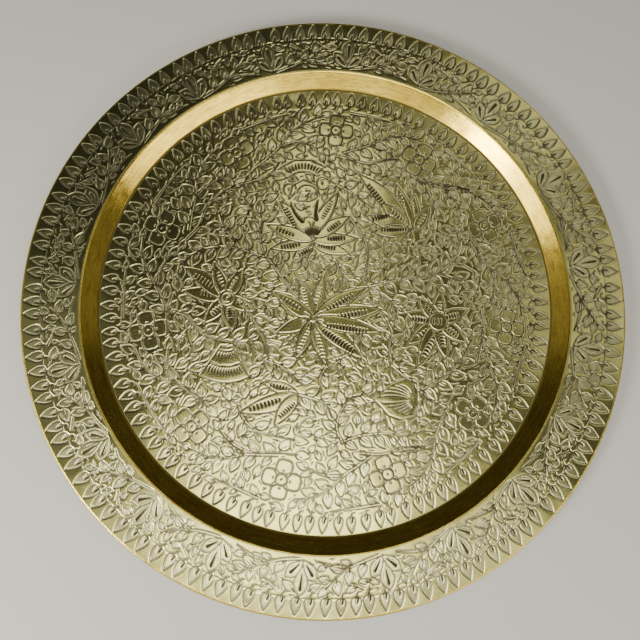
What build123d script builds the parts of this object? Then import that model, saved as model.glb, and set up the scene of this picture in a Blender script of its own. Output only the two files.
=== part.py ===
from build123d import *
import os
from math import cos, radians, sin

# Round engraved brass tray: one spun sheet with a flat floor, a low sloping wall and a wide flat rim,
# whose outer edge is rolled down over a stiffening wire. +Z is up, and the origin is the middle of
# the floor's underside, where the tray rests. Millimetres.

TRAY_DIAMETER = 580.0
SHEET_THICKNESS = 0.9
WALL_TOP_DIAMETER = 470.0  # at the sharp corner of the rim's top face and the wall
FLOOR_DIAMETER = 445.0  # at the sharp corner of the floor's top face and the wall
WALL_RISE = 13.0  # from the floor's top face to the rim's top face
BEND_RADIUS = 2.6  # middle of the sheet, at the wall's top and bottom

WIRE_DIAMETER = 2.0
WIRE_CLEARANCE = 0.05  # between the wire and the roll around it
ROLL_SWEEP = 280.0  # degrees that the sheet turns around the wire

# Middle of the sheet, which the profile follows.
half_sheet = SHEET_THICKNESS / 2
floor_mid_z = half_sheet
rim_mid_z = floor_mid_z + WALL_RISE

# The wall's line, moved from the top face's corners to the middle of the sheet.
wall_run = (WALL_TOP_DIAMETER - FLOOR_DIAMETER) / 2
wall_length = (wall_run**2 + WALL_RISE**2) ** 0.5
corner_shift = half_sheet * (wall_length - wall_run) / WALL_RISE
floor_corner_r = FLOOR_DIAMETER / 2 + corner_shift
rim_corner_r = WALL_TOP_DIAMETER / 2 + corner_shift

# The rolled edge.
roll_bore_radius = WIRE_DIAMETER / 2 + WIRE_CLEARANCE
roll_mid_radius = roll_bore_radius + half_sheet
roll_outer_radius = roll_bore_radius + SHEET_THICKNESS
roll_centre_r = TRAY_DIAMETER / 2 - roll_outer_radius
roll_centre_z = rim_mid_z - roll_mid_radius


def roll_point(turned):
    """Point on the middle of the rolled sheet after it has turned by so many degrees."""
    angle = radians(90.0 - turned)
    return (
        roll_centre_r + roll_mid_radius * cos(angle),
        roll_centre_z + roll_mid_radius * sin(angle),
    )


# The sheet: its middle line from the centre of the floor to the hidden end of the roll, made as
# thick as the sheet and spun around the tray's axis.
with BuildPart() as tray_sheet:
    with BuildSketch(Plane.XZ) as sheet_section:
        with BuildLine() as sheet_middle:
            flat_and_wall = FilletPolyline(
                (0, floor_mid_z),
                (floor_corner_r, floor_mid_z),
                (rim_corner_r, rim_mid_z),
                (roll_centre_r, rim_mid_z),
                radius=BEND_RADIUS,
            )
            ThreePointArc(
                flat_and_wall @ 1,
                roll_point(ROLL_SWEEP / 2),
                roll_point(ROLL_SWEEP),
            )
            offset(amount=half_sheet, side=Side.BOTH)
        make_face()
        # The offset rounds the line's start past the tray's axis: only the half at r >= 0 is spun.
        split(bisect_by=Plane.YZ)
    revolve(axis=Axis.Z)
tray_sheet.part.label = "tray_sheet"

# The stiffening wire: one ring, its ends butted, shut inside the roll.
with BuildPart() as edge_wire:
    with BuildSketch(Plane.XZ) as wire_section:
        with Locations((roll_centre_r, roll_centre_z)):
            Circle(WIRE_DIAMETER / 2)
    revolve(axis=Axis.Z)
edge_wire.part.label = "edge_wire"

os.makedirs("parts", exist_ok=True)
export_step(tray_sheet.part, "parts/tray_sheet.step")
export_step(edge_wire.part, "parts/edge_wire.step")
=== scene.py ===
import functools

import bpy
import numpy as np
from mathutils import Matrix, Vector


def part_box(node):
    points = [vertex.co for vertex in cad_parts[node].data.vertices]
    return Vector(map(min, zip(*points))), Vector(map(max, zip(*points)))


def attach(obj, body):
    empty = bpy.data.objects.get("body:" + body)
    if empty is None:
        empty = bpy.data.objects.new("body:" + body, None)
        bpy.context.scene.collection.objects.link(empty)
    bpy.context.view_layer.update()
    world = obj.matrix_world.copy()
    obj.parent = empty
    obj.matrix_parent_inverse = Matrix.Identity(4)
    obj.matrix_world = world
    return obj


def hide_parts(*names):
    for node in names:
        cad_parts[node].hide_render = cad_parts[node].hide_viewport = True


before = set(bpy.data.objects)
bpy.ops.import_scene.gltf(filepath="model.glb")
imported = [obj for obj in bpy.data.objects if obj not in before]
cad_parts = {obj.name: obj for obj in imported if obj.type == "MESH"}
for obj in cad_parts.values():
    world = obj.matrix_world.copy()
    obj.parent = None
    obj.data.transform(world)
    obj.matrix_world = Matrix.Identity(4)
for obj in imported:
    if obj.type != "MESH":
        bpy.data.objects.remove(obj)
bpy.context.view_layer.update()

bl_info = {
    "name": "Engraved brass tray",
    "version": (1, 0, 0),
    "blender": (4, 5, 0),
    "location": "3D View > Sidebar > Brass Tray",
    "description": "Makes a round brass tray with a hand-engraved floor and rim around its packed frame",
    "category": "Mesh",
}

SHEET_LOW, SHEET_HIGH = (Vector(corner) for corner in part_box("tray_sheet"))
TRAY_RADIUS = round(max(SHEET_HIGH.x, SHEET_HIGH.y), 3)
RIM_TOP = round(SHEET_HIGH.z, 4)

MM = 0.001  # metres in a millimetre: the engraving is laid out in millimetres

FLOOR_RINGS = (60.0, 108.0, 144.0, 174.0, 200.0)  # radii where the floor is cut into pieces
FLOOR_END = 221.0  # where the floor's engraved face gives way to the wall's bend
RIM_RINGS = (237.0, 254.5, 271.5)  # the same for the rim, from the wall's upper bend
RIM_END = 287.6  # where the rim's engraved face gives way to the rolled edge
WORKED_RIM = (238.4, 287.5)  # radii between which the graver works the rim
MIDDLE_OF_WALL = 230.0  # nearer the axis than this is the floor, and further out is the rim
COLUMNS = 1080  # points round the tray on the wall, the edge and the rim's inner border
SHARP_CREASE = np.radians(60.0)  # engraved faces that meet at more than this keep a hard crease


# ---------- sizes and colours a user may change


class TraySizes(bpy.types.PropertyGroup):
    """Sizes of the sheet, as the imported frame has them, and how finely it is meshed"""

    thickness: bpy.props.FloatProperty(
        name="Sheet thickness", description="Gauge of the brass sheet",
        default=0.0009, min=0.0004, max=0.003, unit="LENGTH", precision=4)
    wall_top_radius: bpy.props.FloatProperty(
        name="Wall top radius", description="Where the rim's top face and the wall would meet in a corner",
        default=0.235, unit="LENGTH")
    floor_radius: bpy.props.FloatProperty(
        name="Floor radius", description="Where the floor's top face and the wall would meet in a corner",
        default=0.2225, unit="LENGTH")
    bend_radius: bpy.props.FloatProperty(
        name="Bend radius", description="Middle of the sheet, at the wall's top and bottom",
        default=0.0026, unit="LENGTH", precision=4)
    roll_bore: bpy.props.FloatProperty(
        name="Roll bore radius", description="Inside radius of the rolled edge around its wire",
        default=0.00105, unit="LENGTH", precision=5)
    roll_sweep: bpy.props.FloatProperty(
        name="Roll sweep", description="How far the sheet turns around the wire",
        default=np.radians(280.0), subtype="ANGLE")
    mesh_pitch: bpy.props.FloatProperty(
        name="Mesh pitch", description="Distance between neighbouring points of the engraved faces",
        default=0.0006, min=0.0003, max=0.005, unit="LENGTH", precision=5)


class TrayColours(bpy.types.PropertyGroup):
    """Colours of the metal's finishes"""

    ground: bpy.props.FloatVectorProperty(
        name="Ground", description="Plain metal between the leaves", subtype="COLOR", size=4,
        default=(0.50, 0.455, 0.16, 1.0), min=0.0, max=1.0)
    leaf: bpy.props.FloatVectorProperty(
        name="Matted leaf", description="Faces that the engraver dulled", subtype="COLOR", size=4,
        default=(0.51, 0.49, 0.285, 1.0), min=0.0, max=1.0)
    # Fresh line: clean cut metal, made paler as a painted highlight that stands in for the glint of the
    # groove walls
    bright: bpy.props.FloatVectorProperty(
        name="Fresh line", description="Clean metal in the fine cut lines", subtype="COLOR", size=4,
        default=(0.76, 0.73, 0.43, 1.0), min=0.0, max=1.0)
    # Cut line: tarnish in the deep cuts; also painted shade in the cores of the fine lines, and the dark band
    # along the wall's foot
    cut: bpy.props.FloatVectorProperty(
        name="Cut line", description="Tarnish and old polish in the cut lines", subtype="COLOR", size=4,
        default=(0.05, 0.034, 0.015, 1.0), min=0.0, max=1.0)
    polished: bpy.props.FloatVectorProperty(
        name="Polished wall", description="Plain polished brass of the wall and the edge", subtype="COLOR",
        size=4, default=(0.88, 0.65, 0.105, 1.0), min=0.0, max=1.0)
    underside: bpy.props.FloatVectorProperty(
        name="Underside", description="Unpolished back of the sheet", subtype="COLOR", size=4,
        default=(0.40, 0.31, 0.15, 1.0), min=0.0, max=1.0)


# ---------- the engraver's plate and tools


def at(radius, degrees):
    """Point of the plate, as a complex number of millimetres, at a radius and an angle from +X."""
    return radius * np.exp(1j * np.radians(degrees))


def reach(cells, path, half):
    """
    How far inside a cut each cell lies: the largest, over the runs of its path, of the cut's half width
    at the nearest point of the run, less the distance to that point.
    """
    best = np.full(cells.shape, -99.0)
    for start, end, half_start, half_end in zip(path[:-1], path[1:], half[:-1], half[1:]):
        run = end - start
        along = np.clip(((cells - start) * np.conj(run)).real / max(abs(run) ** 2, 1e-9), 0.0, 1.0)
        gap = np.abs(cells - start - along * run)
        np.maximum(best, half_start + (half_end - half_start) * along - gap, out=best)
    return best


def inside(cells, outline):
    """Which cells a closed outline goes round: it crosses their line to the right an odd number of times."""
    odd = np.zeros(cells.shape, bool)
    for start, end in zip(outline, np.roll(outline, -1)):
        if start.imag == end.imag:
            continue
        spans = (start.imag > cells.imag) != (end.imag > cells.imag)
        crossing = start.real + (cells.imag - start.imag) * (end.real - start.real) / (end.imag - start.imag)
        odd ^= spans & (cells.real < crossing)
    return odd


class Plate:
    """The tray's face from above as a square grid of cells, in millimetres, and what is cut into it."""

    CUT_SLOPE = 0.80  # depth of a cut for each millimetre in from its edge
    DEEPEST = 0.46  # no single cut goes deeper than this
    DEEPEST_RELIEF = 0.66  # nor does the finished face, where cuts, shoulders and slant add up

    def __init__(self, radius, cell):
        self.cell = cell
        self.low = -radius
        count = int(2 * radius / cell) + 1
        self.depth = np.zeros((count, count), np.float32)
        self.matt = np.zeros((count, count), np.float32)
        self.dark = np.zeros((count, count), np.float32)
        self.lie = np.zeros((count, count), np.float32)
        self.taken = np.zeros((count, count), bool)
        self.hand = np.random.default_rng(7)  # how each leaf's face happens to lie

    def window(self, points, margin):
        """The block of cells around some points, and the places of those cells."""
        low = [int((part.min() - margin - self.low) / self.cell) for part in (points.imag, points.real)]
        high = [int((part.max() + margin - self.low) / self.cell) + 2 for part in (points.imag, points.real)]
        block = tuple(slice(max(a, 0), b) for a, b in zip(low, high))
        rows, cols = (self.low + self.cell * np.arange(s.start, min(s.stop, len(self.depth))) for s in block)
        return block, cols[None, :] + 1j * rows[:, None]

    def cut(self, path, half, keep_clear=0.35, dark=0.0):
        """Cut a groove of V section along a path, with a half width at each of its points."""
        path = np.asarray(path)
        half = np.broadcast_to(np.asarray(half, float), path.shape)
        block, cells = self.window(path, half.max() + 1.0)
        within = reach(cells, path, half)
        depth = np.minimum(self.CUT_SLOPE * np.clip(within, 0.0, None), self.DEEPEST)
        np.maximum(self.depth[block], depth, out=self.depth[block])
        self.taken[block] |= within > -keep_clear
        if dark:
            np.maximum(self.dark[block], dark * np.clip(within / 0.4, 0.0, 1.0), out=self.dark[block])

    def face(self, outline, matt=1.0, line=0.6, keep_clear=0.9, lean=0.055):
        """Cut round a closed outline, press the face inside it a little aslant, and matt it."""
        closed = np.append(outline, outline[0])
        block, cells = self.window(closed, 2.0)
        round_it = inside(cells, outline)
        within = reach(cells, closed, np.full(closed.shape, line))
        tilt = lean * self.hand.uniform(0.2, 1.0) * np.exp(2j * np.pi * self.hand.uniform())
        slant = ((cells - outline.mean()) * np.conj(tilt)).real
        depth = self.CUT_SLOPE * np.clip(within, 0.0, None)
        np.maximum(self.depth[block], depth, out=self.depth[block])
        self.lie[block] = np.where(round_it, slant - slant[round_it].min(initial=0.0), self.lie[block])
        self.matt[block] = np.where(round_it, matt * self.hand.uniform(0.7, 1.0), self.matt[block])
        self.taken[block] |= round_it | (within > line - keep_clear)

    def fresh_face(self, outline, **more):
        """A face over whatever was cut there before."""
        self.wipe(outline)
        self.face(outline, **more)

    def wipe(self, outline):
        """Leave the ground inside an outline uncut, so that a motif can lie over another."""
        block, cells = self.window(outline, 0.5)
        round_it = inside(cells, outline)
        for field in (self.depth, self.matt, self.dark, self.lie):
            field[block][round_it] = 0.0

    def share_taken(self, points):
        """Which share of some points is already worked."""
        cols = ((points.real - self.low) / self.cell).astype(int)
        rows = ((points.imag - self.low) / self.cell).astype(int)
        last = len(self.depth) - 1
        return self.taken[np.clip(rows, 0, last), np.clip(cols, 0, last)].mean()

    def sample(self, field, points):
        """Values of one of the grids at some points, straight-line between cells."""
        x = np.clip((points.real - self.low) / self.cell, 0, len(field) - 1.001)
        y = np.clip((points.imag - self.low) / self.cell, 0, len(field) - 1.001)
        col, row = x.astype(int), y.astype(int)
        fx, fy = x - col, y - row
        near = field[row, col] * (1 - fx) + field[row, col + 1] * fx
        far = field[row + 1, col] * (1 - fx) + field[row + 1, col + 1] * fx
        return near * (1 - fy) + far * fy


def blur(field, sigma):
    """A grid smoothed by a bell curve with this many cells of spread, along its rows and its columns."""
    span = int(3 * sigma) + 1
    weights = np.exp(-0.5 * (np.arange(-span, span + 1) / sigma) ** 2)
    weights = (weights / weights.sum()).astype(np.float32)
    for axis in (0, 1):
        total = np.zeros_like(field)
        for shift, weight in zip(range(-span, span + 1), weights):
            total += weight * np.roll(field, shift, axis)
        field = total
    return field


# ---------- single strokes and leaves


def bowed(start, end, bow, steps=7):
    """Points from start to end on a parabola that stands out to the left by bow at its middle."""
    u = np.linspace(0.0, 1.0, steps)
    run = end - start
    return start + run * u + 1j * run / abs(run) * bow * 4 * u * (1 - u)


def tick(plate, start, end, half, bow=0.0, dark=0.0):
    """One push of the graver, pointed at both ends: its half width is half times sin(pi * u) ** 0.6."""
    u = np.linspace(0.0, 1.0, 7)
    plate.cut(bowed(start, end, bow), half * np.sin(np.pi * u) ** 0.6, dark=dark)


def drop(plate, start, end, half, bow=0.0, dark=0.0):
    """One push of the graver that starts wide and runs out: its half width is half times (1 - u) ** 0.7."""
    u = np.linspace(0.0, 1.0, 7)
    plate.cut(bowed(start, end, bow), half * (1 - u) ** 0.7 + 0.12, dark=dark)


def arc(plate, centre, radius, start, end, half=0.6):
    """A round cut about a centre, from one angle to another, in degrees."""
    steps = max(4, int(abs(end - start) / 18))
    plate.cut(centre + at(radius, np.linspace(start, end, steps)), half)


def leaf_outline(base, tip, half_width, fullness=0.72, bow=0.0, steps=11):
    """
    Outline of a leaf from its base, round by its tip. At u from base to tip its half width is half_width
    times sin(pi * u ** fullness) ** 0.85, so a small fullness puts the widest part near the base.
    """
    u = np.linspace(0.0, 1.0, steps)
    middle = bowed(base, tip, bow, steps)
    side = 1j * (tip - base) / abs(tip - base)
    wide = half_width * np.sin(np.pi * u**fullness) ** 0.85
    return np.concatenate([middle + side * wide, (middle - side * wide)[-2:0:-1]])


def leaf(plate, base, tip, half_width, fullness=0.72, bow=0.0):
    """A small oval leaf with a stalk that runs on into it as a vein, and a short cut beside the vein."""
    run = tip - base
    side = 1j * run / abs(run) * (1 if bow > 0 else -1)
    matt = 0.7 if abs(tip) > MIDDLE_OF_WALL else 0.3
    plate.face(leaf_outline(base, tip, half_width, fullness, bow), matt)
    drop(plate, base - 0.16 * run, base + 0.55 * run, 0.8, 0.4 * bow)
    if abs(run) > 10.5:
        tick(plate, base + 0.12 * run + 1.9 * side, base + 0.56 * run + 2.1 * side, 0.6, 0.4)


LEAF_SLIM = 0.31  # half width of a small leaf for each unit of its length
LEAF_PROBE = np.append(leaf_outline(0.12 + 0j, 1.0 + 0j, LEAF_SLIM, 0.78), (0.35, 0.6, 0.8))


def free_leaf(plate, base, direction, lengths, **more):
    """The longest of some leaves that fits on unworked ground, or none."""
    for length in lengths:
        if plate.share_taken(base + direction * length * LEAF_PROBE) < 0.05:
            leaf(plate, base, base + direction * length, length * LEAF_SLIM, **more)
            return True
    return False


# ---------- motifs


def border_leaves(plate, rng, tip_radius, count, length, half_width, matt):
    """
    A row of upright leaves with their tips outwards. The left side of each turns in at its base to a
    hooked cut, and the right side runs on into a tail that sweeps left under the next leaf.
    """
    for number in range(count):
        angle = 360.0 * (number + rng.uniform(-0.13, 0.13)) / count
        out = at(1.0, angle)
        left = 1j * out
        size = length * rng.uniform(0.93, 1.05)
        tip = (tip_radius - rng.uniform(0.0, 0.8)) * out - left * rng.uniform(0.8, 2.0)
        base = tip - size * out + left * rng.uniform(1.0, 2.0)
        outline = leaf_outline(base, tip, half_width * rng.uniform(0.92, 1.08), 0.62, bow=-0.3)
        plate.face(outline, matt, line=0.66, keep_clear=0.8)
        hook = base + np.array([0.05 * size * out + 1.0 * left, 0.20 * size * out + 0.9 * left,
                                0.34 * size * out + 0.3 * left, 0.46 * size * out - 0.2 * left])
        plate.cut(hook, [0.7, 1.15, 0.95, 0.2], dark=0.8)
        lobe = base + np.array([0.42 * size * out - 0.9 * left, 0.2 * size * out - 1.3 * left, -0.6 * left])
        plate.cut(lobe, [0.2, 0.6, 0.8])
        tail = base + np.array([0.4 * left, -0.10 * size * out + 0.3 * left, -0.20 * size * out + 1.2 * left,
                                -0.24 * size * out + 3.4 * left, -0.14 * size * out + 5.8 * left])
        plate.cut(tail, [0.9, 0.85, 0.75, 0.6, 0.2])


def fan(plate, rng, base, degrees, size=1.0):
    """Three petals spread from one point, each with a deep wedge cut, and fine lines between them."""
    out = at(1.0, degrees)
    left = 1j * out
    for turn in (41.0, -41.0):
        way = out * at(1.0, turn * rng.uniform(0.93, 1.07))
        side = 1j * way * np.sign(turn)
        petal = leaf_outline(base, base + 22.0 * size * way, 6.0 * size, 1.15, bow=-0.8 * np.sign(turn))
        plate.fresh_face(petal, matt=0.6, line=0.6, lean=0.02)
        drop(plate, base + 15.5 * size * way, base + 2.0 * way, 1.25, dark=0.9)
        tick(plate, base + 5.0 * size * way + 2.0 * side, base + 16.0 * size * way + 3.0 * side, 0.5, 0.4)
        tick(plate, base + 5.0 * size * way - 1.9 * side, base + 14.0 * size * way - 2.6 * side, 0.45)
    petal = leaf_outline(base + 4.0 * out, base + 31.5 * size * out, 6.6 * size, 1.45)
    plate.fresh_face(petal, matt=0.6, line=0.6, lean=0.02)
    drop(plate, base + 25.5 * size * out, base + 9.0 * out, 1.3, dark=0.9)
    tick(plate, base + 11.0 * size * out + 1.6 * left, base + 24.0 * size * out + 3.2 * left, 0.5, 0.5)
    tick(plate, base + 11.0 * size * out - 1.6 * left, base + 24.0 * size * out - 3.2 * left, 0.5, -0.5)


def stem(plate, points, half_gap=1.2):
    """
    A stalk of two cuts that draw together towards its end. Returns the path between them: the cubic
    curve through the points, whose slope at each is half the step from the one before to the one after.
    """
    points = np.asarray(points)
    u = np.linspace(0, len(points) - 1, 8 * (len(points) - 1) + 1)
    slopes = np.gradient(points)
    low = np.minimum(u.astype(int), len(points) - 2)
    t = u - low
    path = ((2 * t**3 - 3 * t**2 + 1) * points[low] + (t**3 - 2 * t**2 + t) * slopes[low]
            + (3 * t**2 - 2 * t**3) * points[low + 1] + (t**3 - t**2) * slopes[low + 1])
    side = 1j * np.gradient(path)
    side /= np.abs(side)
    gap = half_gap * np.linspace(1.0, 0.3, len(path))
    half = np.linspace(0.65, 0.55, len(path))
    plate.cut(path + side * gap, half)
    plate.cut(path - side * gap, half)
    return path


def vine(plate, rng, points, pitch=7.6, lengths=(14.5, 13.0, 11.5, 10.0, 8.5), spread=48.0):
    """A stem with leaves in turn on its left and right, each as long as the free ground allows."""
    path = stem(plate, points)
    along = np.concatenate([[0.0], np.cumsum(np.abs(np.diff(path)))])

    def point(place):
        return np.interp(place, along, path.real) + 1j * np.interp(place, along, path.imag)

    for number, place in enumerate(np.arange(0.45 * pitch, along[-1] - 1.0, 0.5 * pitch)):
        here = point(place)
        run = point(place + 1.5) - point(place - 1.5)
        way = run / max(abs(run), 1e-6)
        side = 1 if number % 2 else -1
        turn = side * spread * rng.uniform(0.75, 1.25)
        free_leaf(plate, here + 1j * way * side * 2.4, way * at(1.0, turn), lengths, bow=-side * 0.6)
    end_way = (path[-1] - path[-3]) / abs(path[-1] - path[-3])
    free_leaf(plate, path[-1] + end_way, end_way, lengths)


def flower(plate, centre, degrees, size=1.0):
    """Four round petals about a ring and a dot."""
    for turn in (0.0, 90.0, 180.0, 270.0):
        way = at(1.0, degrees + turn)
        middle = centre + 10.4 * size * way
        angles = np.arange(0.0, 360.0, 24.0)
        squared = 1.0 + 0.09 * np.cos(np.radians(4 * angles))
        plate.face(middle + at(8.0 * size * (2 - squared), angles + degrees + turn), matt=0.15, line=0.75,
                   lean=0.025)
    disc = centre + at(5.4 * size, np.arange(0.0, 360.0, 20.0))
    plate.fresh_face(disc, matt=0.1, line=0.85)
    tick(plate, centre - 1.2 - 0.8j, centre + 1.0 + 1.4j, 0.8, dark=0.5)
    for turn in (0.0, 90.0, 180.0, 270.0):
        way = at(1.0, degrees + turn)
        tick(plate, centre + size * way * (7.4 - 1.8j), centre + size * way * (7.4 + 1.8j), 0.8, -0.6)


def barred_petal(plate, base, tip, half_width, first, last, count, bar, heavy=1.0, bow=0.0):
    """
    A long pointed petal with a row of short curved bars across it, from first to last. A bar is as long
    as bar, and the bars get heavier to the middle of the row.
    """
    plate.fresh_face(leaf_outline(base, tip, half_width, 0.8, bow, 13), matt=0.0, line=0.72, lean=0.008)
    if count < 1:
        return
    row = (last - first) / abs(last - first)
    across = 1j * row
    for u in np.linspace(0.0, 1.0, count):
        middle = first + (last - first) * u
        length = bar * (0.72 + 0.56 * u * (1 - u) + 0.2 * u)
        weight = heavy * (0.80 + 0.55 * 4 * u * (1 - u) * 0.5)  # 0.80 at the ends, 1.075 in the middle
        tick(plate, middle - across * length / 2, middle + across * length / 2, weight, 0.16 * length,
             dark=min(1.0, heavy * 0.85))


def shell(plate, centre, inner, outer, start, end, count, half=0.85, rim=True):
    """Straight cuts spread from a centre between two radii, with a round cut inside them."""
    for degrees in np.linspace(start, end, count):
        tick(plate, centre + at(inner, degrees), centre + at(outer, degrees), half, dark=0.8)
    if rim:
        arc(plate, centre, inner - 1.6, start - 6, end + 6, 0.7)


def petals(plate, rows):
    """Several barred petals from a list of their numbers."""
    for row in rows:
        barred_petal(plate, *row)


# ---------- the picture, from the middle outwards


def middle_rosette(plate):
    """Ten long barred petals around a point a little left of and below the tray's middle."""
    hub = -15.0 - 19.0j
    petals(plate, (
        (hub, -50 - 33j, 6.2, hub, hub, 0, 0),
        (hub, -31 - 58j, 6.8, -18.5 - 30j, -29 - 52j, 8, 6.0, 0.9),
        (hub, -2 - 64j, 6.6, -12 - 31j, -5 - 58j, 9, 6.0, 0.9),
        (hub, -5 + 24j, 6.4, -13 - 7j, -8 + 14j, 7, 6.0, 0.75),
        (hub, -29 + 20j, 6.6, -21 - 6j, -25.5 + 12j, 7, 6.0, 0.8),
        (hub, -53 + 8j, 7.0, -29 - 8.5j, -45 + 0.5j, 6, 6.0, 0.85),
        (hub, 38 + 13j, 7.8, 0 - 9j, 25 + 4j, 9, 6.4, 1.2, 1.0),
        (hub, 53 - 9j, 7.6, 1 - 18.5j, 38 - 12j, 12, 6.4, 1.25, 0.5),
        (hub, 33 - 58j, 8.2, -4 - 31j, 25 - 51j, 12, 8.6, 1.4, 1.0),
        (hub, 52 - 32j, 7.4, 0 - 25.5j, 38 - 31j, 13, 6.2, 1.25, 0.5),
    ))
    plate.wipe(hub + at(3.2, np.arange(0.0, 360.0, 30.0)))
    for degrees in (8, 22, -12, -28, -42, 42, 74, 110, 140, 168, 196, 232, 262, 292):
        tick(plate, hub + at(2.0, degrees), hub + at(12.0, degrees), 0.75)


def top_palmette(plate):
    """The large palmette behind the rosette: a fan, two long dark cuts, barred petals and a crown."""
    foot = -15.0 + 60.0j
    petals(plate, (
        (foot - 3j, -35 + 41j, 6.0, -17 + 51j, -29 + 45j, 6, 6.5, 1.25),
        (foot - 2j, -57 + 52j, 6.2, -30 + 56j, -47 + 53j, 7, 6.5, 1.25),
        (foot, -62 + 76j, 6.6, -36 + 66j, -52 + 72j, 6, 6.0, 1.1),
        (foot + 6j, -49 + 101j, 6.6, -33 + 74j, -43 + 93j, 8, 6.0, 1.05),
        (foot - 3j, 22 + 47j, 6.0, -8 + 55j, 7 + 52j, 7, 6.5, 1.1),
        (foot, 30 + 63j, 6.4, 1 + 62j, 17 + 63j, 7, 6.5, 1.3),
        (foot + 4j, 22 + 86j, 6.6, 1 + 71j, 12 + 79j, 6, 6.0, 1.2),
        (foot + 8j, 10 + 110j, 6.6, -5 + 84j, 4 + 102j, 8, 6.0, 0.85),
    ))
    body = np.array([-27 + 79j, -40 + 103j, -36 + 118j, -24 + 124j, -12 + 118j, -8 + 106j, -11 + 80j])
    plate.wipe(body)
    plate.cut(body[1:-1], 0.6)
    drop(plate, -26.0 + 80.0j, -38.5 + 102.0j, 1.9, 2.4, dark=1.0)
    drop(plate, -12.0 + 82.0j, -9.5 + 105.0j, 1.9, 1.2, dark=1.0)
    shell(plate, foot, 5.5, 15.5, 58, 128, 9, 1.1, rim=False)
    arc(plate, -19.0 + 78.0j, 7.0, 40, 140, 0.7)
    for height in (89.0, 94.5, 100.0, 105.5, 111.0):
        tick(plate, -24.0 + height * 1j, -17.0 + height * 1j, 0.75, 1.2)
    arc(plate, -21.0 + 108.0j, 10.5, 10, 175, 0.7)
    for centre in (-39.0 + 113.0j, -5.0 + 120.0j):
        arc(plate, centre, 6.5, 0, 340, 0.65)
        tick(plate, centre - 2.0j, centre + 2.5j, 0.9, 1.0)
    crown = -25.0 + 112.0j
    shell(plate, crown, 22.5, 30.5, 58, 122, 10, 0.95)
    arc(plate, crown, 34.0, 48, 134, 0.65)
    tick(plate, -47.0 + 139.0j, -36.0 + 129.0j, 0.8)
    tick(plate, -4.0 + 138.0j, -13.0 + 129.0j, 0.8)


def right_palmette(plate):
    """A fan of barred petals that lean left, at the upper right."""
    petals(plate, (
        (85 + 72j, 88 + 110j, 6.6, 84 + 78j, 84.5 + 101j, 8, 6.5, 0.8),
        (84 + 73j, 70 + 120j, 7.2, 77 + 92j, 72 + 110j, 6, 6.5, 0.75),
        (80 + 80j, 32 + 131j, 8.6, 58 + 98j, 41 + 119j, 9, 7.0, 1.15, -2.0),
        (82 + 77j, 54 + 100j, 6.8, 76 + 82j, 63 + 93j, 6, 6.0, 1.0),
        (81 + 75j, 38 + 86j, 6.8, 61 + 87j, 45 + 83j, 7, 7.0, 1.35),
        (83 + 72j, 46 + 69j, 6.2, 78 + 72.5j, 54 + 72j, 10, 5.6, 1.35),
        (87 + 71j, 103 + 96j, 6.2, 91 + 77j, 98 + 89j, 5, 5.5, 0.7),
    ))
    arc(plate, 88 + 66j, 9.0, 60, 200, 0.7)
    drop(plate, 83 + 72j, 86 + 56j, 0.9, 1.0)


def right_daisy(plate):
    """A disc with curved bars inside and seven barred petals around it, at the right."""
    hub = 108.5 - 21.0j
    petals(plate, (
        (hub, 77 - 13j, 6.6, 97 - 20j, 83 - 18j, 6, 6.5, 1.25),
        (hub, 78 - 44j, 6.8, 99 - 29j, 87 - 37j, 5, 6.5, 1.25),
        (hub, 87 - 65j, 7.4, 103 - 38j, 92.5 - 57j, 7, 7.5, 1.3),
        (hub, 115 - 58j, 7.0, 110.5 - 32j, 112.5 - 47j, 6, 7.5, 1.1),
        (hub, 137 - 42j, 7.0, 117 - 28j, 127 - 36j, 5, 7.0, 1.1),
        (hub, 139 - 9j, 6.8, 118.5 - 16.5j, 129 - 14j, 5, 7.0, 1.15),
        (hub, 111 + 9j, 6.4, 109.5 - 11j, 111 - 1j, 4, 6.0, 0.8),
        (hub, 90 + 3j, 6.2, 101.5 - 12j, 95 - 4j, 4, 6.0, 1.0),
    ))
    disc = hub + at(9.4, np.arange(0.0, 360.0, 18.0))
    plate.fresh_face(disc, matt=0.1, line=0.7, lean=0.0)
    for shift in (-3.4, 0.0, 3.4):
        tick(plate, hub + shift - 4.0j, hub + shift + 4.0j, 1.0, 1.2, dark=0.7)


def left_flower(plate):
    """A whorled disc and seven barred petals, the longest to the upper left."""
    hub = -99.0 + 1.0j
    petals(plate, (
        (hub, -142 + 8j, 6.6, -111 + 4j, -124 + 6.5j, 5, 6.0, 1.05),
        (hub, -140 + 31j, 8.0, -113 + 13j, -131 + 24j, 7, 7.0, 0.95, -1.5),
        (hub, -112 + 37j, 6.4, -103 + 14j, -108 + 27j, 5, 6.0, 0.7),
        (hub, -84 + 30j, 6.4, -95 + 12j, -89 + 22j, 4, 6.0, 0.7),
        (hub, -120 - 24j, 6.6, -106 - 8.5j, -113 - 15j, 4, 7.0, 1.3),
        (hub, -93 - 31j, 6.6, -96.5 - 10j, -94.5 - 20j, 5, 7.5, 1.3),
        (hub, -72 - 12j, 6.0, -88 - 2.5j, -80 - 7j, 3, 6.0, 0.8),
    ))
    disc = hub + at(7.6, np.arange(0.0, 360.0, 20.0))
    plate.fresh_face(disc, matt=0.1, line=0.7, lean=0.0)
    arc(plate, hub, 4.4, 30, 300, 0.6)
    tick(plate, hub - 1.5j, hub + 2.0, 0.9, 0.8)


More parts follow.
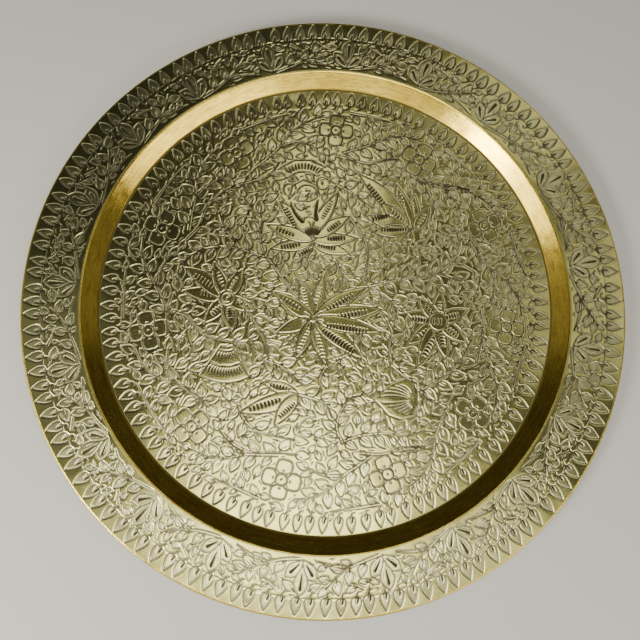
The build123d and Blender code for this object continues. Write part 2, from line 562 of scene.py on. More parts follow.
def lower_motifs(plate):
    """A shell at the lower left, a spray of three barred petals below it, and a shell at the lower right."""
    pivot = -98.0 - 37.0j
    left_shell = pivot + np.concatenate([at(44.0, np.linspace(236, 300, 12)),
                                         at(10.0, np.linspace(300, 236, 5))])
    plate.fresh_face(left_shell, matt=0.0, line=0.7, lean=0.0)
    shell(plate, pivot, 15.5, 21.5, 246, 292, 6, 0.95)
    shell(plate, pivot, 30.0, 38.5, 242, 293, 12, 1.0)
    hub = -29.0 - 91.5j
    petals(plate, (
        (hub, -63 - 80j, 5.6, -38 - 87j, -56 - 83j, 7, 6.0, 1.05),
        (hub, -85 - 109j, 7.8, -47 - 97.5j, -75 - 106j, 9, 7.0, 1.35, 1.0),
        (hub, -51 - 121j, 6.8, -33 - 101j, -46.5 - 113j, 8, 6.8, 1.05, -1.0),
    ))
    knot = 86.0 - 97.0j
    right_shell = np.array([86 - 82j, 74 - 77j, 60 - 82j, 50 - 92j, 44 - 97j, 50 - 103j, 58 - 112j, 70 - 116j,
                            82 - 113j, 86 - 104j])
    plate.fresh_face(right_shell, matt=0.0, line=0.6, lean=0.0)
    for degrees, far, near in ((142, 23, 8), (151, 27, 8), (160, 31, 7), (169, 36, 6), (177, 38, 6),
                               (184, 37, 6), (192, 31, 7), (201, 27, 8), (211, 24, 8), (223, 21, 8)):
        tick(plate, knot + at(near, degrees), knot + at(far, degrees), 0.95, 2.0 * np.sign(degrees - 180),
             dark=0.5)
    plate.cut(bowed(84 - 84j, 80 - 112j, 3.5), [0.3, 0.7, 0.9, 1.0, 0.9, 0.7, 0.3])


def floor_vines(plate, rng):
    """The long stems of the floor's middle, in the order in which they were cut."""
    for points in (
        (-28 + 1j, -39 + 13j, -50 + 28j, -60 + 41j, -76 + 47j, -95 + 52j, -117 + 51j, -135 + 44j, -147 + 32j),
        (-86 + 50j, -96 + 62j, -104 + 74j, -109 + 90j),
        (-60 + 41j, -66 + 52j, -68 + 66j, -66 + 82j),
        (38 + 14j, 50 + 16j, 61 + 19j, 78 + 22j, 95 + 23j, 110 + 27j, 123 + 23j, 135 + 18j),
        (29 + 0j, 42 + 7j, 54 + 5j, 64 - 4j, 68 - 16j),
        (112 + 29j, 123 + 38j, 131 + 49j, 133 + 62j, 127 + 75j),
        (124 + 38j, 137 + 35j, 149 + 28j),
        (84 + 132j, 96 + 123j, 112 + 121j, 130 + 119j, 146 + 115j),
        (96 + 122j, 104 + 111j, 107 + 98j, 105 + 84j),
        (10 + 118j, 20 + 113j, 32 + 104j, 44 + 96j),
        (22 + 84j, 31 + 72j, 38 + 58j, 40 + 44j, 38 + 26j),
        (88 - 88j, 104 - 81j, 117 - 72j, 127 - 62j, 135 - 51j, 141 - 38j),
        (88 - 88j, 99 - 97j, 110 - 104j),
        (62 - 64j, 72 - 73j, 82 - 81j, 84 - 92j),
        (62 - 62j, 60 - 48j, 62 - 34j, 58 - 22j),
        (12 - 137j, 30 - 131j, 52 - 129j, 74 - 131j, 92 - 126j),
        (14 - 138j, 8 - 124j, 12 - 108j, 22 - 96j, 36 - 92j),
        (30 - 147j, 52 - 148j, 72 - 142j, 92 - 141j),
        (-150 - 12j, -137 - 17j, -129 - 26j, -118 - 35j, -103 - 40j, -86 - 42j, -70 - 41j),
        (-86 - 1j, -77 - 14j, -68 - 28j, -61 - 42j, -58 - 56j),
        (-150 - 78j, -138 - 84j, -126 - 92j, -116 - 102j),
        (-100 - 128j, -88 - 139j, -72 - 146j, -52 - 146j, -32 - 148j),
        (-86 - 100j, -80 - 115j, -68 - 126j, -50 - 131j, -34 - 134j),
        (-29 - 92j, -15 - 96j, -2 - 102j, 4 - 114j),
        (-3 - 66j, -8 - 78j, -6 - 90j),
        (-60 - 60j, -48 - 64j, -36 - 72j, -26 - 82j),
        (-140 + 60j, -128 + 74j, -122 + 92j, -110 + 106j, -96 + 116j),
        (-90 + 118j, -76 + 122j, -60 + 128j, -50 + 142j),
        (-66 + 84j, -78 + 92j, -84 + 104j),
        (10 + 150j, 26 + 146j, 42 + 142j, 58 + 146j, 74 + 148j),
        (146 + 64j, 152 + 48j, 153 + 30j, 150 + 12j),
        (152 - 8j, 154 - 26j, 150 - 44j, 146 - 60j),
        (-152 + 6j, -156 - 14j, -156 - 34j),
        (8 + 40j, 12 + 28j, 20 + 20j),
        (-46 - 44j, -58 - 40j, -66 - 30j),
    ):
        vine(plate, rng, points)


FLOWER_ANGLES = (26.0, 57.5, 87.3, 121.5, 156.7, 190.3, 223.2, 255.5, 288.7, 321.5, 351.5)
FLOWER_RADIUS = 176.5
FAN_ANGLES = (8.0, 27.9, 49.7, 67.5, 85.5, 103.5, 122.5, 140.5, 158.5, 177.0,
              195.5, 213.0, 229.7, 246.5, 264.5, 281.5, 298.0, 315.0, 332.3, 349.0)


def bays(rng, angles, wander):
    """
    For each gap between neighbouring angles, all the way round, a function that gives the point at a
    share of the way from its left end to its right end, at a radius give or take wander.
    """
    for right, left in zip(angles, angles[1:] + (angles[0] + 360.0,)):
        yield lambda share, radius, left=left, right=right: at(
            radius + rng.uniform(-wander, wander), left - share * (left - right))


def flower_ring(plate, rng):
    """Eleven flowers, and between each two a forked vine that climbs from the left one's foot."""
    for degrees in FLOWER_ANGLES:
        flower(plate, at(FLOWER_RADIUS + rng.uniform(-1.5, 2.5), degrees), degrees + rng.uniform(-4, 4),
               rng.uniform(0.94, 1.04))
    for place in bays(rng, FLOWER_ANGLES, 1.2):
        fork = place(0.42, 168.0)
        vine(plate, rng, (place(0.10, 155.0), place(0.25, 159.5), fork, place(0.56, 179.5),
                          place(0.72, 188.5), place(0.86, 192.5)))
        vine(plate, rng, (fork, place(0.60, 167.5), place(0.76, 162.0)), lengths=(12.0, 10.5, 9.0, 7.5))
        vine(plate, rng, (place(0.14, 199.0), place(0.36, 198.0), place(0.55, 199.5)),
             lengths=(11.0, 9.5, 8.0, 6.5))


def rim_scroll(plate, rng):
    """
    Twenty fans on the rim's inner edge, between each two a leafy vine that climbs to the right, and
    outside them a ring line that wanders by two sine waves.
    """
    for degrees in FAN_ANGLES:
        fan(plate, rng, at(240.0, degrees), degrees + rng.uniform(-3, 3), rng.uniform(0.95, 1.03))
    for place in bays(rng, FAN_ANGLES, 0.8):
        fork = place(0.40, 246.0)
        vine(plate, rng, (place(0.04, 238.6), place(0.22, 241.5), fork, place(0.58, 253.5),
                          place(0.70, 262.0)), lengths=(12.5, 11.0, 9.5, 8.0, 6.5))
        vine(plate, rng, (fork, place(0.62, 243.5), place(0.82, 240.0)), lengths=(10.0, 8.5, 7.0))
        vine(plate, rng, (place(0.28, 266.0), place(0.42, 259.0)), lengths=(11.0, 9.5, 8.0, 6.5))
    for start in range(0, 360, 4):
        turns = np.linspace(start, start + 4, 4)
        wander = 0.35 * np.sin(np.radians(turns * 7)) + 0.25 * np.sin(np.radians(turns * 17))
        plate.cut(at(271.8 + wander, turns), 0.45, keep_clear=0.2)


def flow(point):
    """The way that small leaves lie at a point, in degrees: outwards, turned by two slow sine waves."""
    return 60.0 * np.sin(point.real / 31.0) + 70.0 * np.cos(point.imag / 27.0) + np.degrees(np.angle(point))


def fill_ground(plate, rng, inner, outer, pitch, lengths):
    """
    Small leaves on what ground is still free, tried at jittered places of a square net, each turned
    by a slow wave so that neighbours lie the same way, and then short ticks in the gaps that are left.
    """
    steps = np.arange(-outer, outer, pitch)
    net = (steps[None, :] + 1j * steps[:, None]).ravel()
    net = net + rng.uniform(-0.4, 0.4, net.size) * pitch + 1j * rng.uniform(-0.4, 0.4, net.size) * pitch
    radii = np.abs(net)
    net = net[(radii > inner) & (radii < outer)]
    rng.shuffle(net)
    for point in net:
        if plate.share_taken(np.array([point])) > 0:
            continue
        for turn in (0.0, 75.0, -75.0, 150.0, 210.0):
            if free_leaf(plate, point, at(1.0, flow(point) + turn + rng.uniform(-15, 15)), lengths):
                break
    half_length = 3.8
    for point in net:
        for turn in (40.0, -40.0, 120.0):
            way = at(half_length, flow(point) + turn + rng.uniform(-20, 20))
            if plate.share_taken(point + way * np.linspace(-1, 1, 5)) == 0:
                tick(plate, point - way, point + way, 0.60, 0.35 * half_length * rng.choice((-1, 1)))
                break


@functools.lru_cache(maxsize=None)
def engraved_plate():
    """The whole picture, cut once: its depth in millimetres, its matted faces, and its dark cuts."""
    rng = np.random.default_rng(58)
    plate = Plate(radius=TRAY_RADIUS / MM + 1.0, cell=0.25)
    line = plate.low + plate.cell * np.arange(len(plate.depth))
    radii = np.hypot(line[:, None], line[None, :])
    plate.taken |= ((radii > FLOOR_END) & (radii < WORKED_RIM[0])) | (radii > WORKED_RIM[1])
    border_leaves(plate, rng, 286.6, 131, 16.0, 4.5, 0.75)
    border_leaves(plate, rng, 220.4, 103, 15.0, 4.1, 0.15)
    rim_scroll(plate, rng)
    middle_rosette(plate)
    top_palmette(plate)
    right_palmette(plate)
    right_daisy(plate)
    left_flower(plate)
    lower_motifs(plate)
    flower_ring(plate, rng)
    floor_vines(plate, rng)
    fill_ground(plate, rng, 0.0, 203.0, 3.2, (14.0, 12.5, 11.0, 9.5))
    fill_ground(plate, rng, 238.0, 270.5, 3.0, (12.5, 11.0, 9.5, 8.5))
    sharp = blur(plate.depth, 1.2)
    shoulder = blur(plate.depth, 4.0)
    plate.relief = np.minimum(sharp + 0.25 * shoulder + blur(plate.lie, 1.6), plate.DEEPEST_RELIEF)
    # line: how far into a fine cut each point lies; the finish paints a highlight on its shallow shoulders
    # and shade in its core
    plate.fields = {"cut": blur(plate.dark, 1.0), "leaf": blur(plate.matt, 1.6),
                    "line": np.clip(sharp / 0.3, 0.0, 1.0)}
    return plate


# ---------- the metal, as surfaces


def box_of_points(count):
    """Points of the unit disc from a square net: its square rings become circles, and its rows stay rows."""
    line = np.linspace(-1.0, 1.0, count)
    across, along = np.meshgrid(line, line)
    flat = np.abs(across) > np.abs(along)
    radius = np.where(flat, across, along)
    with np.errstate(divide="ignore", invalid="ignore"):
        turn = np.where(flat, np.pi / 4 * along / across, np.pi / 2 - np.pi / 4 * across / along)
    return radius * np.exp(1j * np.nan_to_num(turn))


def grid_faces(index, wrap=False):
    """Quads between neighbouring rows and columns of a grid of vertex numbers, the last column joined on."""
    if wrap:
        index = np.concatenate([index, index[:, :1]], axis=1)
    corners = (index[:-1, :-1], index[1:, :-1], index[1:, 1:], index[:-1, 1:])
    return np.stack([corner.ravel() for corner in corners], axis=1)


def make_piece(name, points, faces, materials, slots, fields, sharp_above):
    """
    A piece that stands for the sheet, from arrays: its points, its quads, which material each takes, and
    its painted fields. Edges where faces meet at more than sharp_above stay hard.
    """
    mesh = bpy.data.meshes.new(name)
    mesh.vertices.add(len(points))
    mesh.vertices.foreach_set("co", np.ascontiguousarray(points, np.float32).ravel())
    mesh.loops.add(faces.size)
    mesh.loops.foreach_set("vertex_index", faces.ravel().astype(np.int32))
    mesh.polygons.add(len(faces))
    mesh.polygons.foreach_set("loop_start", np.arange(0, faces.size, 4, dtype=np.int32))
    mesh.update(calc_edges=True)
    mesh.polygons.foreach_set("use_smooth", np.ones(len(faces), bool))
    mesh.polygons.foreach_set("material_index", slots.astype(np.int32))
    for key, values in fields.items():
        layer = mesh.attributes.new(key, "FLOAT", "POINT")
        layer.data.foreach_set("value", values.astype(np.float32).ravel())
    for material in materials:
        mesh.materials.append(material)
    mesh.set_sharp_from_angle(angle=sharp_above)
    mesh.validate()
    piece = bpy.data.objects.new(name, mesh)
    bpy.context.collection.objects.link(piece)
    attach(piece, "root")
    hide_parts("tray_sheet")


def engraved_height(places, top, low, high):
    """
    Height of the engraved face, in metres, at places in millimetres: the sheet's top less the relief,
    which dies out over the last millimetre before the radii low and high.
    """
    plate = engraved_plate()
    radii = np.abs(places)
    fade = np.clip((high - radii) / 1.0, 0.0, 1.0)
    if low is not None:
        fade = fade * np.clip((radii - low) / 1.0, 0.0, 1.0)
    return top - MM * fade * plate.sample(plate.relief, places), fade


def ring_of_sheet(name, inner, outer, inner_columns, face, materials):
    """
    A flat ring of the sheet between two radii in millimetres. Its top follows the engraving on a polar
    grid, and its bottom is plain. The inner border has its neighbour's heights, so that the two meet.
    face = (top, bottom, low, high): the heights of the faces and the radii where the engraving ends.
    Returns how many columns it has.
    """
    top, bottom, low, high = face
    pitch = piece_pitch()
    columns = int(2 * np.pi * outer / pitch)
    rows = max(3, int(np.ceil((outer - inner) / pitch)) + 1)
    turns = 2 * np.pi * np.arange(columns) / columns
    places = np.linspace(inner, outer, rows)[:, None] * np.exp(1j * turns)[None, :]
    height, fade = engraved_height(places, top, low, high)
    near = 2 * np.pi * np.arange(inner_columns + 1) / inner_columns
    height[0] = np.interp(turns, near, engraved_height(inner * np.exp(1j * near), top, low, high)[0])
    plan = np.concatenate([places.ravel(), places[0], places[-1]])
    level = np.concatenate([height.ravel(), np.full(2 * columns, bottom)])
    index = np.arange(rows * columns).reshape(rows, columns)
    under = rows * columns + np.arange(2 * columns).reshape(2, columns)
    rest = [grid_faces(np.stack(pair), wrap=True)
            for pair in ((under[1], under[0]), (under[0], index[0]), (index[-1], under[1]))]
    engraved_piece(name, plan, level, fade.ravel(), grid_faces(index, wrap=True), rest, materials)
    return columns


def engraved_piece(name, plan, level, fade, top, rest, materials):
    """
    A piece of the sheet with its plan in millimetres and its levels in metres. The quads of its top take
    the first material and the rest the second, and its engraved fields die out with the relief.
    """
    faces = np.concatenate([top, *rest])
    slots = np.repeat([0, 1], [len(top), len(faces) - len(top)])
    points = np.stack([plan.real * MM, plan.imag * MM, level], axis=1)
    plate = engraved_plate()
    shown = np.concatenate([fade, np.zeros(len(plan) - len(fade))])
    fields = {key: shown * plate.sample(field, plan) for key, field in plate.fields.items()}
    make_piece(name, points, faces, materials, slots, fields, SHARP_CREASE)


def disc_of_sheet(name, radius, face, materials):
    """
    The round middle of the floor, from a square net bent to a disc, with its top engraved and its bottom
    plain. Returns how many points its border has.
    """
    top, bottom, low, high = face
    count = 2 * int(round(radius / piece_pitch())) + 1
    places = radius * box_of_points(count)
    height, fade = engraved_height(places, top, low, high)
    index = np.arange(count * count).reshape(count, count)
    border = np.concatenate([index[0, :-1], index[:-1, -1], index[-1, :0:-1], index[:0:-1, 0]])
    upper = grid_faces(index.T)
    rest = [(upper + count * count)[:, ::-1],
            grid_faces(np.stack([border, border + count * count]), wrap=True)]
    plan = np.concatenate([places.ravel(), places.ravel()])
    level = np.concatenate([height.ravel(), np.full(count * count, bottom)])
    engraved_piece(name, plan, level, fade.ravel(), upper, rest, materials)
    return len(border)


def piece_pitch():
    return bpy.context.scene.tray_sizes.mesh_pitch / MM * 1.0


def rounded_corner(before, corner, after, radius, steps):
    """Points of the arc of a radius that touches both arms of a corner of a path in (radius, height)."""
    back = (before - corner) / abs(before - corner)
    on = (after - corner) / abs(after - corner)
    half_angle = np.arccos(np.clip((back * np.conj(on)).real, -1, 1)) / 2
    centre = corner + (back + on) / abs(back + on) * radius / np.sin(half_angle)
    start = corner + back * radius / np.tan(half_angle)
    end = corner + on * radius / np.tan(half_angle)
    turn = np.angle((end - centre) / (start - centre))
    return centre + (start - centre) * np.exp(1j * turn * np.linspace(0, 1, steps))


def spun(name, profile, materials, split):
    """
    A closed profile of (radius, height) in metres, as complex numbers, turned about the tray's axis. The
    first split of its runs take the first material and the rest the second.
    """
    turns = np.exp(2j * np.pi * np.arange(COLUMNS) / COLUMNS)
    plan = profile.real[:, None] * turns[None, :]
    level = np.repeat(profile.imag[:, None], COLUMNS, axis=1)
    index = np.arange(plan.size).reshape(plan.shape)
    faces = grid_faces(np.concatenate([index, index[:1]]), wrap=True)
    slots = np.repeat([0, 1], [split * COLUMNS, len(faces) - split * COLUMNS])
    points = np.stack([plan.real.ravel(), plan.imag.ravel(), level.ravel()], axis=1)
    make_piece(name, points, faces, materials, slots, {}, np.radians(50.0))


def offset_path(path, amount):
    """A path moved to its left by amount, each point along the mean of its neighbouring runs' normals."""
    runs = np.diff(path)
    runs = runs / np.abs(runs)
    mean = np.concatenate([runs[:1], runs[:-1] + runs[1:], runs[-1:]])
    mean = mean / np.abs(mean)
    return path + 1j * mean * amount


# ---------- finishes


def node(tree, kind, settings=None, **values):
    """A shader node with its settings, and each named socket given a value or joined to another's output."""
    made = tree.nodes.new(kind)
    for key, value in (settings or {}).items():
        setattr(made, key, value)
    for key, value in values.items():
        give(tree, made.inputs[key.replace("_", " ")], value)
    return made


def give(tree, socket, value):
    """Joins an output to a socket, or sets the socket's own value."""
    if isinstance(value, bpy.types.NodeSocket):
        tree.links.new(value, socket)
    else:
        socket.default_value = value


def blend(tree, factor, low, high):
    """A colour between two, by a factor."""
    made = tree.nodes.new("ShaderNodeMix")
    made.data_type = "RGBA"
    for place, value in ((0, factor), (6, low), (7, high)):
        give(tree, made.inputs[place], value)
    return made.outputs[2]


def remap(tree, value, low, high, to_low, to_high):
    """A value moved from one range to another, and kept in it."""
    made = node(tree, "ShaderNodeMapRange", From_Min=low, From_Max=high, To_Min=to_low, To_Max=to_high)
    give(tree, made.inputs["Value"], value)
    return made.outputs["Result"]


def sums(tree, operation, first, second=0.0):
    """One step of arithmetic on one or two values."""
    made = tree.nodes.new("ShaderNodeMath")
    made.operation = operation
    give(tree, made.inputs[0], first)
    give(tree, made.inputs[1], second)
    return made.outputs[0]


def noise(tree, place, scale, detail=3.0, roughness=0.5, stretch=None):
    """Cloudy noise of the object's place, with about scale lumps to the metre."""
    if stretch is not None:
        place = node(tree, "ShaderNodeMapping", Vector=place, Scale=stretch).outputs[0]
    return node(tree, "ShaderNodeTexNoise", Vector=place, Scale=scale, Detail=detail,
                Roughness=roughness).outputs["Fac"]


def metal(name):
    """A new metal material. Returns it with its node tree, its shader and the place on the object."""
    material = bpy.data.materials.new(name)
    material.use_nodes = True
    tree = material.node_tree
    shader = tree.nodes["Principled BSDF"]
    shader.inputs["Metallic"].default_value = 1.0
    return material, tree, shader, node(tree, "ShaderNodeTexCoord").outputs["Object"]


def around(tree, place):
    """The place on the tray as (turn about the axis, distance from the axis, height), and that distance."""
    parts = node(tree, "ShaderNodeSeparateXYZ", Vector=place)
    turn = sums(tree, "ARCTAN2", parts.outputs["Y"], parts.outputs["X"])
    across = sums(tree, "POWER", parts.outputs["X"], 2.0)
    along = sums(tree, "POWER", parts.outputs["Y"], 2.0)
    far = sums(tree, "SQRT", sums(tree, "ADD", across, along))
    return node(tree, "ShaderNodeCombineXYZ", X=turn, Y=far, Z=parts.outputs["Z"]).outputs[0], far


def shade(colour, *factors):
    """A colour with its red, green and blue each multiplied."""
    return tuple(np.array(colour) * (*factors, 1.0))


def bumped(tree, shader, *layers):
    """Adds bumps to a shader, one after another, each a (height, distance in metres)."""
    normal = None
    for height, distance in layers:
        made = node(tree, "ShaderNodeBump", Height=height, Distance=distance, Strength=1.0)
        if normal is not None:
            tree.links.new(normal, made.inputs["Normal"])
        normal = made.outputs[0]
    tree.links.new(normal, shader.inputs["Normal"])


@functools.lru_cache(maxsize=None)
def engraved_brass():
    """Engraved face: golden ground, greyer matted leaves and dark cuts, unevenly handled and tarnished, with
    a painted highlight on the shoulders of the fine lines and painted shade in their cores.
    """
    colours = bpy.context.scene.tray_colours
    material, tree, shader, place = metal("engraved_brass")
    cut, matt, line = (node(tree, "ShaderNodeAttribute", {"attribute_name": name}).outputs["Fac"]
                       for name in ("cut", "leaf", "line"))
    patches = noise(tree, place, 16.0, 4.0, 0.6)
    blotches = noise(tree, place, 90.0, 4.0, 0.6)
    grain = noise(tree, place, 1500.0, 2.0, 0.6)
    ground = blend(tree, remap(tree, patches, 0.35, 0.68, 0.0, 0.8), tuple(colours.ground),
                   shade(colours.ground, 0.78, 0.80, 0.74))
    ground = blend(tree, remap(tree, blotches, 0.50, 0.75, 0.0, 0.55), ground,
                   shade(colours.leaf, 0.80, 0.82, 0.85))
    dulled = blend(tree, remap(tree, blotches, 0.35, 0.70, 0.0, 0.7), tuple(colours.leaf),
                   shade(colours.ground, 0.92, 0.98, 1.05))
    face = blend(tree, matt, ground, dulled)
    # Painted highlight: the shallow shoulders of the fine cuts take the pale line colour, for the glint of
    # the groove walls over clean cut metal
    face = blend(tree, remap(tree, line, 0.05, 0.35, 0.0, 0.75), face, tuple(colours.bright))
    # Dark cores of the fine cuts: painted shade of the groove walls, with some old polish left in the cuts,
    # stronger in patches
    core_shade_and_polish = sums(tree, "MULTIPLY", remap(tree, line, 0.42, 0.80, 0.0, 1.0),
                  remap(tree, noise(tree, place, 7.0, 3.0, 0.6), 0.38, 0.62, 0.74, 0.95))
    face = blend(tree, core_shade_and_polish, face, tuple(colours.cut))
    dark = sums(tree, "MULTIPLY", remap(tree, cut, 0.15, 0.8, 0.0, 0.94),
                remap(tree, blotches, 0.3, 0.7, 0.75, 1.0))
    give(tree, shader.inputs["Base Color"], blend(tree, dark, face, tuple(colours.cut)))
    dull = sums(tree, "ADD", remap(tree, patches, 0.3, 0.7, 0.18, 0.25),
                remap(tree, matt, 0.0, 1.0, 0.0, 0.12))
    dull = sums(tree, "MAXIMUM", dull, remap(tree, line, 0.15, 0.5, 0.0, 0.42))
    give(tree, shader.inputs["Roughness"], sums(tree, "ADD", dull, remap(tree, cut, 0.3, 1.0, 0.0, 0.25)))
    bumped(tree, shader, (noise(tree, place, 22.0, 2.0), 0.0012), (grain, 0.000018))
    return material


@functools.lru_cache(maxsize=None)
def polished_brass():
    """
    Plain burnished brass, with fine marks and brown stains that run round the tray, and darker and duller
    along its foot. Where the wall's bends run out flat into the floor and the rim, it takes their colour.
    """
    colours = bpy.context.scene.tray_colours
    material, tree, shader, place = metal("polished_brass")
    sizes = bpy.context.scene.tray_sizes
    turned, far = around(tree, place)
    streaks = noise(tree, turned, 1.0, 3.0, 0.6, stretch=(9.0, 2600.0, 2600.0))
    patches = noise(tree, place, 34.0, 4.0, 0.6)
    foot, head = sizes.floor_radius, sizes.wall_top_radius
    floor_side = remap(tree, far, foot - 0.0006, foot + 0.0001, 1.0, 0.0)
    rim_side = remap(tree, far, head - 0.0001, head + 0.0006, 0.0, 1.0)
    plain = sums(tree, "ADD", floor_side, rim_side)
    # A dark, duller band along the wall's foot, where it meets the floor
    off_foot = sums(tree, "ABSOLUTE", sums(tree, "SUBTRACT", far, foot - 0.0002))
    foot_darkening = remap(tree, off_foot, 0.0003, 0.0014, 0.92, 0.0)
    tint = blend(tree, remap(tree, patches, 0.35, 0.7, 0.0, 0.7), tuple(colours.polished),
                 shade(colours.polished, 0.74, 0.62, 0.45))
    tint = blend(tree, remap(tree, streaks, 0.50, 0.70, 0.0, 0.6), tint,
                 shade(colours.polished, 0.62, 0.56, 0.48))
    stains = noise(tree, turned, 1.0, 4.0, 0.65, stretch=(16.0, 420.0, 420.0))
    tint = blend(tree, remap(tree, stains, 0.48, 0.66, 0.0, 0.65), tint,
                 shade(colours.polished, 0.60, 0.47, 0.26))
    tint = blend(tree, plain, tint, shade(colours.ground, 0.92, 0.92, 0.90))
    give(tree, shader.inputs["Base Color"], blend(tree, foot_darkening, tint, tuple(colours.cut)))
    dull = sums(tree, "ADD", remap(tree, streaks, 0.3, 0.75, 0.14, 0.30), sums(tree, "MULTIPLY", plain, 0.08))
    give(tree, shader.inputs["Roughness"], sums(tree, "ADD", dull, sums(tree, "MULTIPLY", foot_darkening, 0.3)))
    bumped(tree, shader, (noise(tree, place, 30.0, 2.0), 0.0004), (streaks, 0.00004))
    return material


@functools.lru_cache(maxsize=None)
def edge_brass():
    """The rolled edge: polished brass, duller in random patches, with fine nicks."""
    colours = bpy.context.scene.tray_colours
    material, tree, shader, place = metal("edge_brass")
    patches = noise(tree, place, 60.0, 5.0, 0.65)
    nicks = noise(tree, place, 700.0, 2.0, 0.6)
    tint = blend(tree, remap(tree, patches, 0.4, 0.7, 0.0, 0.8), tuple(colours.polished),
                 shade(colours.ground, 0.85, 0.85, 0.80))
    give(tree, shader.inputs["Base Color"], tint)
    give(tree, shader.inputs["Roughness"], remap(tree, patches, 0.35, 0.7, 0.22, 0.42))
    bumped(tree, shader, (patches, 0.0008), (nicks, 0.00006))
    return material


@functools.lru_cache(maxsize=None)
def underside_brass():
    """Back of the sheet: dull, with the rings it was spun with, brown stains and worn patches."""
    colours = bpy.context.scene.tray_colours
    material, tree, shader, place = metal("underside_brass")
    turned, _far = around(tree, place)
    rings = noise(tree, turned, 1.0, 3.0, 0.65, stretch=(2.0, 900.0, 900.0))
    stains = noise(tree, place, 13.0, 6.0, 0.65)
    spots = noise(tree, place, 160.0, 3.0, 0.6)
    tint = blend(tree, remap(tree, stains, 0.42, 0.68, 0.0, 0.85), tuple(colours.underside),
                 shade(colours.underside, 0.50, 0.42, 0.36))
    tint = blend(tree, remap(tree, rings, 0.45, 0.75, 0.0, 0.45), tint,
                 shade(colours.underside, 1.35, 1.30, 1.20))
    tint = blend(tree, remap(tree, spots, 0.60, 0.72, 0.0, 0.6), tint, (0.10, 0.065, 0.035, 1.0))
    give(tree, shader.inputs["Base Color"], tint)
    give(tree, shader.inputs["Roughness"], remap(tree, stains, 0.35, 0.7, 0.40, 0.62))
    bumped(tree, shader, (noise(tree, place, 25.0, 2.0), 0.0020), (rings, 0.00008))
    return material


@functools.lru_cache(maxsize=None)
def wire_steel():
    """Drawn steel wire with a trace of rust."""
    material, tree, shader, place = metal("wire_steel")
    rust = noise(tree, place, 240.0, 5.0, 0.65)
    rusty = remap(tree, rust, 0.52, 0.66, 0.0, 1.0)
    tint = blend(tree, rusty, (0.42, 0.42, 0.43, 1.0), (0.17, 0.075, 0.03, 1.0))
    give(tree, shader.inputs["Base Color"], tint)
    give(tree, shader.inputs["Metallic"], remap(tree, rust, 0.52, 0.66, 1.0, 0.2))
    give(tree, shader.inputs["Roughness"], remap(tree, rust, 0.45, 0.66, 0.32, 0.8))
    bumped(tree, shader, (noise(tree, place, 900.0, 2.0), 0.00005))
    return material


# ---------- one operator for each part of the job


class TRAY_OT_engrave_floor(bpy.types.Operator):
    """Makes the floor of the tray: a disc and five rings of one engraved sheet"""

    bl_idname = "tray.engrave_floor"
    bl_label = "Engrave the floor"

    def execute(self, context):
        materials = (engraved_brass(), underside_brass())
        face = (context.scene.tray_sizes.thickness, 0.0, None, FLOOR_END)
        columns = disc_of_sheet("floor_disc", FLOOR_RINGS[0], face, materials)
        borders = FLOOR_RINGS + (FLOOR_END,)
        for number, (inner, outer) in enumerate(zip(borders[:-1], borders[1:]), 2):
            columns = ring_of_sheet(f"floor_band_{number}", inner, outer, columns, face, materials)
        return {"FINISHED"}


class TRAY_OT_engrave_rim(bpy.types.Operator):
    """Makes the flat rim of the tray: three rings of one engraved sheet"""

    bl_idname = "tray.engrave_rim"
    bl_label = "Engrave the rim"

    def execute(self, context):
        materials = (engraved_brass(), underside_brass())
        face = (RIM_TOP, RIM_TOP - context.scene.tray_sizes.thickness, RIM_RINGS[0], RIM_END)
        borders = RIM_RINGS + (RIM_END,)
        columns = COLUMNS
        for number, (inner, outer) in enumerate(zip(borders[:-1], borders[1:]), 1):
            columns = ring_of_sheet(f"rim_band_{number}", inner, outer, columns, face, materials)
        return {"FINISHED"}


class TRAY_OT_polish_wall(bpy.types.Operator):
    """Makes the plain sloping wall between the floor and the rim, with its two bends"""

    bl_idname = "tray.polish_wall"
    bl_label = "Polish the wall"

    def execute(self, context):
        sizes = context.scene.tray_sizes
        half = sizes.thickness / 2
        run = sizes.wall_top_radius - sizes.floor_radius
        rise = RIM_TOP - sizes.thickness
        shift = half * (np.hypot(run, rise) - run) / rise
        foot = sizes.floor_radius + shift + 1j * half
        head = sizes.wall_top_radius + shift + 1j * (RIM_TOP - half)
        start = FLOOR_END * MM + 1j * half
        end = RIM_RINGS[0] * MM + 1j * (RIM_TOP - half)
        middle = np.concatenate([
            [start], rounded_corner(start, foot, head, sizes.bend_radius, 9),
            foot + (head - foot) * np.linspace(0.12, 0.88, 9),
            rounded_corner(foot, head, end, sizes.bend_radius, 9), [end]])
        top = offset_path(middle, half)
        bottom = offset_path(middle, -half)
        profile = np.concatenate([top, bottom[::-1]])
        spun("wall_band", profile, (polished_brass(), underside_brass()), len(top) - 1)
        return {"FINISHED"}


class TRAY_OT_roll_edge(bpy.types.Operator):
    """Makes the outer edge, rolled down and in around its wire"""

    bl_idname = "tray.roll_edge"
    bl_label = "Roll the edge"

    def execute(self, context):
        sizes = context.scene.tray_sizes
        outer = sizes.roll_bore + sizes.thickness
        centre = TRAY_RADIUS - outer + 1j * (RIM_TOP - outer)
        start = RIM_END * MM
        turns = np.exp(1j * (np.pi / 2 - np.linspace(0.0, 1.0, 27) * sizes.roll_sweep))
        profile = np.concatenate([
            [start + 1j * RIM_TOP], centre + outer * turns, centre + sizes.roll_bore * turns[::-1],
            [start + 1j * (RIM_TOP - sizes.thickness)]])
        spun("edge_roll", profile, (edge_brass(), underside_brass()), len(turns) + 1)
        return {"FINISHED"}


class TRAY_OT_finish_wire(bpy.types.Operator):
    """Gives the wire inside the rolled edge its steel"""

    bl_idname = "tray.finish_wire"
    bl_label = "Finish the wire"

    def execute(self, context):
        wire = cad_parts["edge_wire"]
        wire.data.materials.clear()
        wire.data.materials.append(wire_steel())
        return {"FINISHED"}


